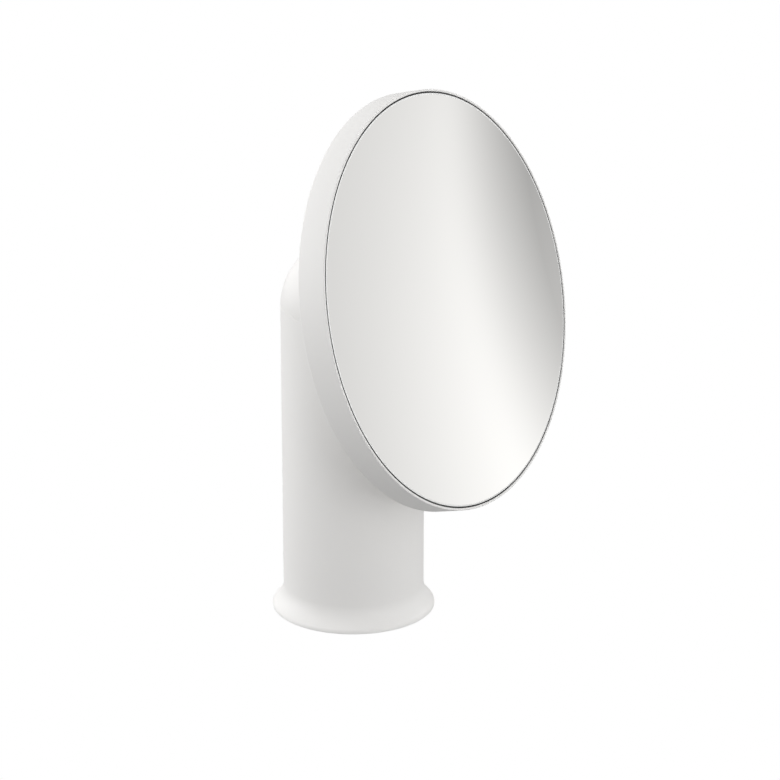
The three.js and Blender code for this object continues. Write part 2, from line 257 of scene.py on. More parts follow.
def edit_chosen(piece, kind, test):
    """Goes into edit mode with only the vertices or edges selected whose places pass a test."""
    only(piece)
    bpy.ops.object.mode_set(mode="EDIT")
    bpy.ops.mesh.select_mode(type=kind)
    bpy.ops.mesh.select_all(action="DESELECT")
    bpy.ops.object.mode_set(mode="OBJECT")
    places = [vertex.co / mm for vertex in piece.data.vertices]
    if kind == "VERT":
        for vertex, place in zip(piece.data.vertices, places):
            vertex.select = test(place)
    else:
        for edge in piece.data.edges:
            edge.select = test([places[i] for i in edge.vertices])
    bpy.ops.object.mode_set(mode="EDIT")


def pulled_out(piece, middle, reach):
    """Makes a level rod long: what lies past its middle, up or down, is moved by the reach."""
    edit_chosen(piece, "VERT", lambda place: (place.z - middle) * reach > 0.01)
    bpy.ops.transform.translate(value=(0, 0, reach * mm))
    bpy.ops.object.mode_set(mode="OBJECT")
    return piece


def copied(piece, name, turn=0.0, x=0.0, y=0.0):
    """A copy with a mesh of its own, turned about Z in degrees or moved in millimetres."""
    only(piece)
    bpy.ops.object.duplicate()
    copy = bpy.context.object
    copy.name = copy.data.name = name
    copy.rotation_euler = (0, 0, math.radians(turn))
    copy.location = Vector((x, y, 0)) * mm
    return settle(copy)


def into_mirror_frame(piece):
    """From upright at the origin to the mirror's own frame: Z out of the glass, from the neck."""
    piece.rotation_euler = (math.pi / 2 - mirror_tilt, 0, 0)
    piece.location = neck * mm
    return settle(piece)


# %% [markdown]
# ## Tools for finishes
# A finish is a Principled shader with a few texture nodes. Shader sums read best as sums, so a
# small class wraps a socket and turns `1 - mask * 0.2` into Math nodes. All patterns read Object
# coordinates in metres, so a scale of 900 gives grains a little over a millimetre across.

# %% Finish helpers
class Wire:
    """A shader socket that can be added, subtracted, multiplied and raised to a power."""

    def __init__(self, sheet, socket):
        self.sheet = sheet
        self.socket = socket

    def __add__(self, other):
        return self.sheet.math("ADD", self, other)

    def __sub__(self, other):
        return self.sheet.math("SUBTRACT", self, other)

    def __rsub__(self, other):
        return self.sheet.math("SUBTRACT", other, self)

    def __mul__(self, other):
        return self.sheet.math("MULTIPLY", self, other)

    def __pow__(self, other):
        return self.sheet.math("POWER", self, other)

    __radd__ = __add__
    __rmul__ = __mul__


class NodeSheet:
    """A node tree under construction. `node` adds any node; `math` adds a Math node."""

    def __init__(self, tree):
        self.tree = tree

    def node(self, kind, settings=(), inputs=(), output=0):
        made = self.tree.nodes.new(kind)
        for key, value in dict(settings).items():
            setattr(made, key, value)
        for key, value in dict(inputs).items():
            self.feed(made.inputs[key], value)
        return Wire(self, made.outputs[output]) if made.outputs else made

    def feed(self, socket, value):
        if isinstance(value, Wire):
            self.tree.links.new(value.socket, socket)
        else:
            socket.default_value = value

    def math(self, operation, *values):
        return self.node("ShaderNodeMath", {"operation": operation}, dict(enumerate(values)))


class Finish(NodeSheet):
    """A Principled material with patterns that read Object coordinates."""

    def __init__(self, name):
        self.material = bpy.data.materials.new(name)
        self.material.use_nodes = True
        super().__init__(self.material.node_tree)
        self.shader = self.tree.nodes["Principled BSDF"]
        self.place = self.node("ShaderNodeTexCoord", output="Object")

    def noise(self, scale, detail=2.0, roughness=0.5, stretch=(1, 1, 1)):
        where = self.node("ShaderNodeMapping", inputs={"Vector": self.place, "Scale": stretch})
        return self.node("ShaderNodeTexNoise", inputs={
            "Vector": where, "Scale": scale, "Detail": detail, "Roughness": roughness})

    def shades(self, mask, dark, light):
        """A colour that runs from dark to light with a mask."""
        return self.node("ShaderNodeMix", {"data_type": "RGBA"},
                         {"Factor": mask, 6: (*dark, 1), 7: (*light, 1)}, output=2)

    def bump(self, height, distance, strength):
        return self.node("ShaderNodeBump", inputs={
            "Height": height, "Distance": distance * mm, "Strength": strength})

    def set(self, **values):
        for key, value in values.items():
            self.feed(self.shader.inputs[key.replace("_", " ").title()], value)
        return self.material


# %% [markdown]
# ## The finishes
# The white is a powder coat: dry, even, with a fine orange peel that only shows in the highlights.
# The steel is plated and lightly brushed. The rest is what works out of sight: moulded plastic,
# rubber, foam and rough castings.

# %% White powder coat
def white_powder_coat():
    finish = Finish("white_powder_coat")
    peel = finish.noise(700, detail=1.5)
    grain = finish.noise(4200, detail=2)
    drift = finish.noise(14, detail=1)
    colour = finish.shades(drift * 0.6 + grain * 0.4, (0.835, 0.825, 0.81), (0.875, 0.868, 0.855))
    return finish.set(
        base_color=colour,
        roughness=0.42 + grain * 0.12,
        normal=finish.bump(peel * 0.75 + grain * 0.25, 0.02, 0.5))


# %% Silvered glass, its ground edge and its painted back
def silvering():
    finish = Finish("silvering")
    haze = finish.noise(40, detail=2)
    return finish.set(
        base_color=finish.shades(haze, (0.942, 0.933, 0.913), (0.948, 0.939, 0.919)),
        metallic=1.0,
        roughness=0.0)


def dark_glass_edge_painted_shade():
    finish = Finish("dark_glass_edge_painted_shade")
    grit = finish.noise(2500, detail=2)
    # Near black: dark as glass seen edge-on, and darkened further as painted shade for the shadow in the gap round
    # the glass.
    return finish.set(
        base_color=finish.shades(grit, (0.02, 0.032, 0.029), (0.05, 0.068, 0.062)),
        roughness=0.35 + grit * 0.2,
        normal=finish.bump(grit, 0.02, 0.4))


def arris_painted_highlight():
    finish = Finish("arris_painted_highlight")
    grit = finish.noise(2500, detail=2)
    # Near white and a little metallic: a painted highlight, so that the arris shows as a bright line from every
    # side.
    return finish.set(
        base_color=finish.shades(grit, (0.9, 0.9, 0.89), (0.98, 0.98, 0.97)),
        metallic=0.2,
        roughness=0.3 + grit * 0.1)


def backing_paint():
    finish = Finish("backing_paint")
    grain = finish.noise(1600, detail=3)
    return finish.set(
        base_color=finish.shades(grain, (0.16, 0.17, 0.18), (0.24, 0.25, 0.26)),
        roughness=0.6 + grain * 0.15,
        normal=finish.bump(grain, 0.03, 0.5))


# %% Steel, castings, plastic, rubber, foam
def brushed_steel():
    finish = Finish("brushed_steel")
    brush = finish.noise(90, detail=5, roughness=0.7, stretch=(1, 1, 60))
    smudge = finish.noise(45, detail=2)
    return finish.set(
        base_color=finish.shades(brush, (0.52, 0.53, 0.54), (0.68, 0.69, 0.70)),
        metallic=1.0,
        roughness=0.22 + brush * 0.14 + smudge * 0.06,
        normal=finish.bump(brush, 0.008, 0.4))


def rough_casting():
    finish = Finish("rough_casting")
    sand = finish.noise(1500, detail=4, roughness=0.6)
    patch = finish.noise(90, detail=2)
    return finish.set(
        base_color=finish.shades(patch * 0.5 + sand * 0.5, (0.2, 0.2, 0.21), (0.42, 0.42, 0.43)),
        metallic=0.9,
        roughness=0.5 + sand * 0.25,
        normal=finish.bump(sand, 0.08, 0.7))


def moulded_plastic():
    finish = Finish("moulded_plastic")
    spark = finish.noise(3000, detail=2)
    return finish.set(
        base_color=finish.shades(spark, (0.045, 0.046, 0.048), (0.07, 0.071, 0.073)),
        roughness=0.42 + spark * 0.2,
        normal=finish.bump(spark, 0.012, 0.5))


def black_rubber():
    finish = Finish("black_rubber")
    grain = finish.noise(2400, detail=3)
    bloom = finish.noise(70, detail=2)
    return finish.set(
        base_color=finish.shades(bloom * 0.6 + grain * 0.4, (0.018,) * 3, (0.05,) * 3),
        roughness=0.72 + grain * 0.2,
        normal=finish.bump(grain, 0.03, 0.6))


def grey_foam():
    finish = Finish("grey_foam")
    cells = finish.node("ShaderNodeTexVoronoi", inputs={"Vector": finish.place, "Scale": 1400})
    return finish.set(
        base_color=finish.shades(cells, (0.06, 0.062, 0.063), (0.2, 0.205, 0.208)),
        roughness=0.95,
        normal=finish.bump(cells, 0.15, 0.8))


WHITE = white_powder_coat()
MIRROR = silvering()
GLASS_EDGE_SHADE = dark_glass_edge_painted_shade()
BACKING = backing_paint()
ARRIS = arris_painted_highlight()
STEEL = brushed_steel()
CAST = rough_casting()
PLASTIC = moulded_plastic()
RUBBER = black_rubber()
FOAM = grey_foam()
FINISH_OF_SLOT = {
    "white_paint": WHITE, "silvered_glass": MIRROR, "steel": STEEL, "cast_metal": CAST,
    "grey_plastic": PLASTIC, "black_rubber": RUBBER, "grey_foam": FOAM,
}
print("finishes:", sorted(FINISH_OF_SLOT))


# %% [markdown]
# ## Handing a piece over
# Each finished piece gets its shading and the finish of its slot, rides on the body that moves it,
# and hides the plain nodes of the frame that it covers.

# %% Finishing a piece
def finished(piece, body, slot, *nodes, smooth=30):
    only(piece)
    bpy.ops.object.shade_smooth_by_angle(angle=math.radians(smooth))
    if not piece.data.materials:
        piece.data.materials.append(FINISH_OF_SLOT[slot])
    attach(piece, body)
    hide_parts(*nodes)
    print(piece.name, "has", len(piece.data.polygons), "faces and rides on", body)
    return piece


# %% [markdown]
# ## The column
# The column is one white tube that flares into its foot. The flare is a hollow curve that leaves
# the tube tangent to it and meets a rounded edge, so it is drawn as two arcs that share a tangent.
# The mouth of the tube has a small round, which with the dome's makes the fine seam.

# %% Column shell
FLARE_ANGLE = 48.8
FLARE_RADIUS = 13.3
FLARE_START = 13.2
COLUMN_WALL = 2.0
SEAM_ROUND = 0.12
SEAM_GAP = 0.05


def column_outline():
    turn = math.radians(FLARE_ANGLE)
    flare_end = column_radius + FLARE_RADIUS * (1 - math.cos(turn))
    edge_radius = (foot_radius - flare_end) / (1 - math.cos(turn))
    edge_height = FLARE_START - (FLARE_RADIUS + edge_radius) * math.sin(turn)
    flare_centre = column_radius + FLARE_RADIUS
    inside = column_radius - COLUMN_WALL
    recess = high("foot_pad").x + FIT_GAP
    shell_low = low("column_shell").z
    plate_top = high("base_plate").z + FIT_GAP
    shoulder = high("ballast").z + FIT_GAP
    ballast_bore = high("ballast").x + FIT_GAP
    lower_round = edge_height - shell_low
    mouth = column_top + FIT_GAP - SEAM_GAP / 2
    return [
        (recess, shell_low + 0.2),
        (recess + 0.2, shell_low),
        *arc(foot_radius - lower_round, edge_height, lower_round, -90, 0, 5),
        *arc(foot_radius - edge_radius, edge_height, edge_radius, 0, FLARE_ANGLE, 12)[1:],
        *arc(flare_centre, FLARE_START, FLARE_RADIUS, 180 + FLARE_ANGLE, 180, 24)[1:],
        *arc(column_radius - SEAM_ROUND, mouth - SEAM_ROUND, SEAM_ROUND, 0, 90, 5),
        (inside + 0.4, mouth),
        (inside, mouth - 0.4),
        (inside, shoulder),
        (ballast_bore, shoulder),
        (ballast_bore, plate_top),
        (recess, plate_top),
    ]


column_body = turned("column_body", column_outline())
finished(column_body, "column", "white_paint", "column_shell")

# %% [markdown]
# ## Screws
# A screw is turned like anything round. Its thread is drawn as a row of rings, which at this size
# looks the same as a helix and stays a simple closed body. The drive, a cross or a hexagon, is
# cut with a tool. One screw of each kind is made, and copied to every place where it is used.

# %% Threads and drives
THREE_SCREWS = (90, 210, 330)


def thread(radius, start, end, pitch):
    """Outline points of a thread along a screw, from one height to another."""
    rings = max(1, round(abs(end - start) / pitch))
    step = (end - start) / rings
    points = []
    for i in range(rings):
        points += [(radius, start + i * step), (radius - 0.5 * pitch, start + (i + 0.5) * step)]
    return [*points, (radius, end)]


def cross_drive(piece, size, bottom, top):
    """Cuts the cross that a screwdriver fits."""
    width = size * 0.3
    tool = block("drive", (-size, size), (-width, width), (bottom, top))
    combine(tool, block("drive_arm", (-width, width), (-size, size), (bottom, top)), "UNION")
    return combine(piece, tool)


def hex_drive(piece, size, bottom, top):
    """Cuts the hexagon that a key fits."""
    return combine(piece, rod("drive", size, bottom, top, sides=6))


def hand_over_round(piece, name, body, node, turns):
    """Copies one screw to its places round Z, hands the copies over and removes the first."""
    for number, turn in enumerate(turns, 1):
        finished(copied(piece, f"{name}_{number}", turn), body, "steel", f"{node}_{number}")
    bpy.data.objects.remove(piece)


# %% [markdown]
# ## The foot
# The column would tip with the mirror's weight in front, so its base holds a cast iron weight. A
# steel plate and three countersunk screws hold the weight in, and a rubber disc with rings
# pressed into it covers the plate and keeps the foot from sliding.

# %% Rubber disc, plate, weight
PAD_RINGS = (12, 22, 32)
PAD_GROOVE = 0.4
BASE_CIRCLE = 24
BASE_SCREW_RADIUS = 1.9
BASE_SCREW_HEAD = 3.6
plate_low, plate_high = low("base_plate").z, high("base_plate").z
base_screw_end = high("base_screw_1").z


def pad_outline():
    radius, top = high("foot_pad").x, high("foot_pad").z
    rings = []
    for ring in PAD_RINGS:
        rings += [(ring, 0), (ring + 0.2, PAD_GROOVE), (ring + 2.2, PAD_GROOVE), (ring + 2.4, 0)]
    return [(0, 0), *rings, *arc(radius - 0.35, 0.35, 0.35, -90, 0, 4), (radius, top), (0, top)]


def base_screw_outline(play=0.0):
    """Half of a countersunk screw, or with some play, of the plain hole that it fits."""
    end = base_screw_end + play
    radius = BASE_SCREW_RADIUS + play
    return [
        (0, plate_low), (BASE_SCREW_HEAD + play, plate_low), (radius, plate_high),
        *([(radius, end - 0.6)] if play else thread(radius, plate_high + 0.8, end - 0.6, 0.8)),
        (radius - 0.6, end), (0, end),
    ]


def base_disc(name, radius, bottom, top, edge):
    """A round plate or weight with softened edges and the holes of the three base screws."""
    disc = turned(name, [
        (0, bottom), (radius - edge, bottom), (radius, bottom + edge),
        (radius, top - edge), (radius - edge, top), (0, top),
    ])
    for turn in THREE_SCREWS:
        hole = turned("hole", base_screw_outline(play=FIT_GAP), steps=48)
        hole = settle_at(hole, BASE_CIRCLE, turn)
        combine(disc, hole)
    return disc


def settle_at(piece, radius, turn):
    """Moves a piece out from Z by a radius, then round Z by an angle in degrees."""
    angle = math.radians(turn)
    piece.location = Vector((radius * math.cos(angle), radius * math.sin(angle), 0)) * mm
    piece.rotation_euler = (0, 0, angle)
    return settle(piece)


foot_disc = turned("foot_disc", pad_outline())
finished(foot_disc, "column", "black_rubber", "foot_pad")
plate = base_disc("bottom_plate", high("base_plate").x, plate_low, plate_high, 0.2)
finished(plate, "column", "steel", "base_plate")
weight = base_disc("foot_weight", high("ballast").x, low("ballast").z, high("ballast").z, 1.2)
finished(weight, "column", "cast_metal", "ballast")

foot_screw = turned("foot_screw", base_screw_outline(), steps=48)
cross_drive(foot_screw, 2.0, plate_low - 1, plate_low + 1.5)
settle_at(foot_screw, BASE_CIRCLE, 0)
hand_over_round(foot_screw, "foot_screw", "column", "base_screw", THREE_SCREWS)

# %% [markdown]
# ## The guide bush
# The inner tube slides in a plastic bush at the column's mouth. A rubber ring in a groove grips
# the tube, so that it stays at any height, and a small steel key runs in the tube's slot, so that
# the tube can't turn or come out.

# %% Bush, friction ring, key
tube_radius = high("mast_tube").x
bush_low, bush_high = low("top_bush").z, high("top_bush").z
ring_height = (low("friction_ring").z + high("friction_ring").z) / 2
ring_section = (high("friction_ring").z - low("friction_ring").z) / 2
ring_radius = high("friction_ring").x - ring_section
key_low, key_high = low("guide_key"), high("guide_key")
RING_ROOM = 1.1


def bush_outline():
    inside, outside = tube_radius + FIT_GAP, high("top_bush").x
    groove = ring_radius + ring_section + FIT_GAP
    groove_low, groove_high = ring_height - RING_ROOM, ring_height + RING_ROOM
    return [
        (inside + 0.5, bush_low), (outside - 0.5, bush_low), (outside, bush_low + 0.5),
        (outside, bush_high - 0.4), (outside - 0.4, bush_high), (inside + 0.8, bush_high),
        (inside, bush_high - 0.8), (inside, groove_high), (groove, groove_high),
        (groove, groove_low), (inside, groove_low), (inside, bush_low + 0.5),
    ]


bush = turned("guide_bush", bush_outline())
combine(bush, block(
    "key_hole", (key_low.x - FIT_GAP, key_high.x + FIT_GAP), (tube_radius - 1, column_radius),
    (key_low.z - FIT_GAP, key_high.z + FIT_GAP)))
finished(bush, "column", "grey_plastic", "top_bush")
grip = turned("grip_ring", arc(ring_radius, ring_height, ring_section, 0, 345, 23), steps=128)
finished(grip, "column", "black_rubber", "friction_ring")
key = block("slide_key", (key_low.x, key_high.x), (key_low.y, key_high.y), (key_low.z, key_high.z))
finished(bevel(key, 0.3), "column", "steel", "guide_key")

# %% [markdown]
# ## The inner tube
# The tube that pulls up is bare steel, since paint would wear off in the bush. Its slot is milled
# with round ends, a plastic shoe guides its lower end in the column, and a cast plug held by three
# small screws closes its top.

# %% Tube and plug
tube_low, tube_high = low("mast_tube").z, high("mast_tube").z
TUBE_WALL = 1.8
tube_inside = tube_radius - TUBE_WALL
TUBE_STEPS = 190  # no line of vertices runs through the middle of a hole, which cuts uncleanly
SLOT_HALF = 1.6
SLOT_LOW = 59
SLOT_HIGH = 148.1
TUBE_SCREW_HEIGHT = 145.5
TUBE_SCREWS = (30, 150, 270)
SMALL_SCREW_RADIUS = 1.5
BOLT_RADIUS = 3.9


def cut_tube_screws(piece):
    for turn in TUBE_SCREWS:
        hole = lay_along_x(rod("hole", SMALL_SCREW_RADIUS + FIT_GAP, 18, 35), TUBE_SCREW_HEIGHT)
        hole.rotation_euler = (0, 0, math.radians(turn))
        combine(piece, settle(hole))
    return piece


def slot_tool():
    """One rod across the tube's wall, pulled out upwards, cuts a slot with round ends."""
    middle = SLOT_LOW + SLOT_HALF
    tool = lay_along_y(rod("slot", SLOT_HALF, tube_inside - 1, tube_radius + 1), middle)
    return pulled_out(tool, middle, SLOT_HIGH - SLOT_LOW - 2 * SLOT_HALF)


inner_tube = turned("inner_tube", [
    (tube_inside + 0.3, tube_low), (tube_radius - 0.3, tube_low), (tube_radius, tube_low + 0.3),
    *arc(tube_radius - 0.5, tube_high - 0.5, 0.5, 0, 90, 5), (tube_inside + 0.3, tube_high),
    (tube_inside, tube_high - 0.3), (tube_inside, tube_low + 0.3),
], steps=TUBE_STEPS)
combine(inner_tube, slot_tool())
finished(cut_tube_screws(inner_tube), "mast", "steel", "mast_tube")


def plug_outline():
    bottom, top = low("mast_cap").z, high("mast_cap").z
    bore, outside = BOLT_RADIUS + FIT_GAP, tube_inside - FIT_GAP
    return [
        (bore + 0.3, bottom), (outside - 0.8, bottom), (outside, bottom + 0.8),
        (outside, tube_high + FIT_GAP), (tube_radius - FIT_GAP, tube_high + FIT_GAP),
        (tube_radius - FIT_GAP, top - 0.3), (tube_radius - 0.45, top), (bore + 0.3, top),
        (bore, top - 0.3), (bore, bottom + 0.3),
    ]


plug = turned("tube_plug", plug_outline())
combine(plug, block("key_way", (-SLOT_HALF, SLOT_HALF), (tube_inside - 3, tube_radius + 1),
                    (low("mast_cap").z - 1, SLOT_HIGH)))
finished(cut_tube_screws(plug), "mast", "cast_metal", "mast_cap")

# %% Grub screws, shoe and washers
tube_screw = turned("tube_screw", [
    (0, 20), (1.1, 20), *thread(SMALL_SCREW_RADIUS, 20.4, 29.4, 0.6), (1.2, 29.8), (0, 29.8)],
    steps=48)
hex_drive(tube_screw, 0.8, 28, 31)
lay_along_x(tube_screw, TUBE_SCREW_HEIGHT)
hand_over_round(tube_screw, "tube_screw", "mast", "mast_cap_screw", TUBE_SCREWS)


def shoe_outline():
    bottom, top, outside = low("guide_shoe").z, high("guide_shoe").z, high("guide_shoe").x
    bore = tube_radius + FIT_GAP
    return [
        (tube_inside + 0.2, bottom), (outside - 0.7, bottom), (outside, bottom + 0.7),
        (outside, top - 0.7), (outside - 0.7, top), (bore + 0.3, top), (bore, top - 0.3),
        (bore, tube_low - FIT_GAP), (tube_inside, tube_low - FIT_GAP), (tube_inside, bottom + 0.2),
    ]


shoe = turned("slide_shoe", shoe_outline())
finished(shoe, "mast", "grey_plastic", "guide_shoe")


def plain_washer(name, inside, outside, bottom, top, edge):
    return turned(name, [
        (inside, bottom), (outside - edge, bottom), (outside, bottom + edge),
        (outside, top - edge), (outside - edge, top), (inside, top),
    ], steps=96)


ring_low, ring_high = low("swivel_washer"), high("swivel_washer")
swivel_ring = plain_washer("swivel_ring", 8, ring_high.x, ring_low.z, ring_high.z, 0.15)
finished(swivel_ring, "mast", "grey_plastic", "swivel_washer")

spring_low, spring_high = low("wave_washer").z, high("wave_washer").z
SPRING_THICK = 0.5
SPRING_WAVES = 3
spring_outside = high("wave_washer").x
spring = plain_washer(
    "spring_washer", 4.2, spring_outside, spring_low, spring_low + SPRING_THICK, 0.1)
wave = (spring_high - spring_low - SPRING_THICK) / 2
for vertex in spring.data.vertices:
    around = math.atan2(vertex.co.y, vertex.co.x)
    vertex.co.z += wave * (1 + math.cos(SPRING_WAVES * around)) * mm
finished(spring, "mast", "steel", "wave_washer")

# %% [markdown]
# ## The dome
# The dome is a thin half-sphere, spun as two arcs round the same centre. Three posts inside take
# the screws of the casting, and one round hole in front lets the mirror's stem out. The hole is
# cut along the mirror's axis, which passes just under the dome's centre.

# %% Dome
DOME_WALL = 1.8
STEM_HOLE = 5.0
POST_RADIUS = 4.2
CORE_CIRCLE = 23
CORE_FLANGE_LOW = 157.7
CORE_FLANGE_HIGH = 160.5
seam_height = low("dome_cover").z - FIT_GAP + SEAM_GAP / 2
dome_screw_low, dome_screw_end = low("core_screw_1").z, high("core_screw_1").z


def dome_outline():
    inside = dome_radius - DOME_WALL
    start = math.degrees(math.asin((seam_height + SEAM_ROUND - dome_centre) / dome_radius))
    start_inside = math.degrees(math.asin((seam_height + 0.3 - dome_centre) / inside))
    return [
        *arc(dome_radius - SEAM_ROUND, seam_height + SEAM_ROUND, SEAM_ROUND, -90, 0, 5)[:-1],
        *arc(0, dome_centre, dome_radius, start, 90, 64)[:-1],
        (0, dome_centre + dome_radius),
        (0, dome_centre + inside),
        *arc(0, dome_centre, inside, 90, start_inside, 32)[1:],
        (inside + 0.3, seam_height),
    ]


def dome_posts(inside):
    """The three posts that take the casting's screws, kept inside the dome's own skin."""
    posts = None
    for turn in THREE_SCREWS:
        post = rod("post", POST_RADIUS, CORE_FLANGE_HIGH + FIT_GAP, dome_centre + 22, sides=48)
        settle_at(post, CORE_CIRCLE, turn)
        posts = combine(posts, post, "UNION") if posts else post
    skin = turned("skin", [(0, seam_height), *arc(0, dome_centre, inside + 0.6, 2, 90, 32)[:-1],
                           (0, dome_centre + inside + 0.6)], steps=96)
    return combine(posts, skin, "INTERSECT")


def dome():
    outline = dome_outline()
    rim = next(i for i, point in enumerate(outline) if point[0] == 0)
    ordered = [*outline[rim + 1:], *outline[:rim + 1]]
    piece = turned("dome_cap", ordered)
    combine(piece, dome_posts(dome_radius - DOME_WALL), "UNION")
    for turn in THREE_SCREWS:
        hole = rod("hole", SMALL_SCREW_RADIUS + FIT_GAP, 158, dome_screw_end + FIT_GAP)
        combine(piece, settle_at(hole, CORE_CIRCLE, turn))
    hole = into_mirror_frame(rod("stem_hole", STEM_HOLE, 15, 50, sides=96))
    return combine(piece, hole)


dome_cap = dome()
finished(dome_cap, "head", "white_paint", "dome_cover")

# %% [markdown]
# ## Inside the head
# A casting carries the dome and the mirror's stem, and turns on one large bolt. The casting is
# turned, then a sloping boss is joined on for the stem and everything outside the dome's inner
# radius is trimmed away. The bolt's nut is locked, so that the head turns with an even drag.

# %% Casting
STEM_RADIUS = 4.5
STEM_START = 14
STEM_SCREWS = (19, 27)
GRUB_RADIUS = 1.9
CORE_RADIUS = 29.8
DOME_SCREW_SEAT = 154.9
core_low = low("head_core").z


def core_outline():
    reach = dome_radius - DOME_WALL - 0.3
    start = math.degrees(math.asin((CORE_FLANGE_LOW - dome_centre) / reach))
    end = math.degrees(math.asin((CORE_FLANGE_HIGH - dome_centre) / reach))
    return [
        (0, core_low), (CORE_RADIUS - 0.4, core_low), (CORE_RADIUS, core_low + 0.4),
        (CORE_RADIUS, CORE_FLANGE_LOW),
        *arc(0, dome_centre, reach, start, end, 4), (0, CORE_FLANGE_HIGH),
    ]


def core_boss():
    reach = dome_radius - DOME_WALL - 0.3
    boss = into_mirror_frame(rod("boss", 8, 11, 40, sides=96))
    limit = turned("limit", [
        (0, CORE_FLANGE_LOW + 0.5), *arc(0, dome_centre, reach, 3, 90, 32)[:-1],
        (0, dome_centre + reach)], steps=96)
    return combine(boss, limit, "INTERSECT")


core = combine(turned("head_casting", core_outline()), core_boss(), "UNION")
combine(core, rod("bolt_head_room", 7.2, CORE_FLANGE_LOW + FIT_GAP, 185, sides=96))
combine(core, rod("bolt_hole", BOLT_RADIUS + FIT_GAP, core_low - 1, 170))
socket = rod("stem_socket", STEM_RADIUS + FIT_GAP, STEM_START - FIT_GAP, 45, sides=96)
combine(core, into_mirror_frame(socket))
for distance in STEM_SCREWS:
    hole = lay_along_y(rod("hole", GRUB_RADIUS + FIT_GAP, 3, 9), distance)
    combine(core, into_mirror_frame(hole))
for turn in THREE_SCREWS:
    head_room = rod("head_room", 3 + FIT_GAP, core_low - 1, DOME_SCREW_SEAT + FIT_GAP)
    combine(core, settle_at(head_room, CORE_CIRCLE, turn))
    hole = rod("hole", SMALL_SCREW_RADIUS + FIT_GAP, core_low, 170)
    combine(core, settle_at(hole, CORE_CIRCLE, turn))
finished(bevel(core, 0.25), "head", "cast_metal", "head_core")

# %% Bolt, nut and screws of the head
bolt_low, bolt_high = low("swivel_bolt").z, high("swivel_bolt").z
bolt_seat = CORE_FLANGE_LOW + 0.3
BOLT_HEAD = 6.5
bolt = turned("turning_bolt", [
    (0, bolt_low), (3.2, bolt_low), *thread(BOLT_RADIUS, bolt_low + 0.7, 143, 1.0),
    (BOLT_RADIUS, bolt_seat), (BOLT_HEAD - 0.3, bolt_seat), (BOLT_HEAD, bolt_seat + 0.3),
    (BOLT_HEAD, bolt_high - 0.5), (BOLT_HEAD - 0.5, bolt_high), (0, bolt_high)], steps=96)
hex_drive(bolt, 3.4, CORE_FLANGE_LOW + 2.2, bolt_high + 1)
finished(bolt, "head", "steel", "swivel_bolt")


def hex_nut(name, size, bore, bottom, top):
    """A hexagon whose corners are turned down to a chamfer at both faces."""
    nut = rod(name, size, bottom, top, sides=6)
    trim = turned("trim", [
        (0, bottom), (size * 0.88, bottom), (size * 1.01, bottom + size * 0.08),
        (size * 1.01, top - size * 0.08), (size * 0.88, top), (0, top)], steps=96)
    combine(nut, trim, "INTERSECT")
    return combine(nut, rod("bore", bore, bottom - 1, top + 1))


nut = hex_nut("swivel_nut", 7, BOLT_RADIUS + FIT_GAP, low("lock_nut").z, high("lock_nut").z)
finished(nut, "head", "steel", "lock_nut")

dome_screw = turned("dome_screw", [
    (0, dome_screw_low), (2.7, dome_screw_low), (3, dome_screw_low + 0.3), (3, DOME_SCREW_SEAT),
    (SMALL_SCREW_RADIUS, DOME_SCREW_SEAT),
    *thread(SMALL_SCREW_RADIUS, 156, dome_screw_end - 0.5, 0.7),
    (1.1, dome_screw_end), (0, dome_screw_end)], steps=48)
hex_drive(dome_screw, 1.5, 151, 154.2)
settle_at(dome_screw, CORE_CIRCLE, 0)
hand_over_round(dome_screw, "dome_screw", "head", "core_screw", THREE_SCREWS)

# %% [markdown]
# ## The stem
# The stem is a steel pin that ends in a flat eye for the hinge. An eye and an ear are both lugs: a
# short rod across X whose far half is pulled out, which gives a round end and straight sides in
# one piece. The stem is turned first, then its lug is joined on and the hole is drilled.

# %% Lugs
def lug(name, radius, near, far, reach):
    """A lug round the hinge pin, between two places across X, that reaches up or down."""
    piece = lay_along_x(rod(name, radius, near, far, sides=96), pin_distance)
    return pulled_out(piece, pin_distance, reach)


# %% Stem and its screws
PIN_RADIUS = 1.75
EYE = 3.2
stem = turned("mirror_stem", [
    (0, STEM_START), (STEM_RADIUS - 0.6, STEM_START), (STEM_RADIUS, STEM_START + 0.6),
    (STEM_RADIUS, 35.6), *arc(STEM_RADIUS - 0.8, 35.6, 0.8, 0, 90, 6)[1:], (0, 36.4)], steps=96)
combine(stem, lug("eye", EYE, -EYE, EYE, -5), "UNION")
combine(stem, lay_along_x(rod("pin_hole", PIN_RADIUS + FIT_GAP, -10, 10), pin_distance))
finished(into_mirror_frame(bevel(stem, 0.15)), "head", "steel", "hinge_stem")

grub = turned("grub_screw", [
    (0, 4.65), (1.4, 4.65), *thread(GRUB_RADIUS, 5.1, 7.1, 0.5), (1.6, 7.5), (0, 7.5)], steps=48)
hex_drive(grub, 1.0, 6, 9)
for number, distance in enumerate(STEM_SCREWS, 1):
    copy = lay_along_y(copied(grub, f"grub_screw_{number}"), distance)
    finished(into_mirror_frame(copy), "head", "steel", f"stem_screw_{number}")
bpy.data.objects.remove(grub)

# %% [markdown]
# ## The mirror's casing
# The casing is a shallow dish with a flat back. The narrow lip round the front is simply the end
# of its wall, with a fine bevel outside and a soft round at the back edge. A round recess in the
# back hides the hinge.

# %% Casing
LIP_WIDTH = 1.1
LIP_BEVEL = 0.35
BACK_ROUND = 0.8
CASING_FLOOR = 1.6
RECESS_RADIUS = 23.0
RECESS_DEPTH = 2.6
RECESS_FLOOR = 2.4
BACK_SCREW_RADIUS = 1.4
recess_plane = mirror_back + RECESS_DEPTH
back_screw_places = [(x, y) for x in (-10.5, 10.5) for y in (-7.5, 7.5)]


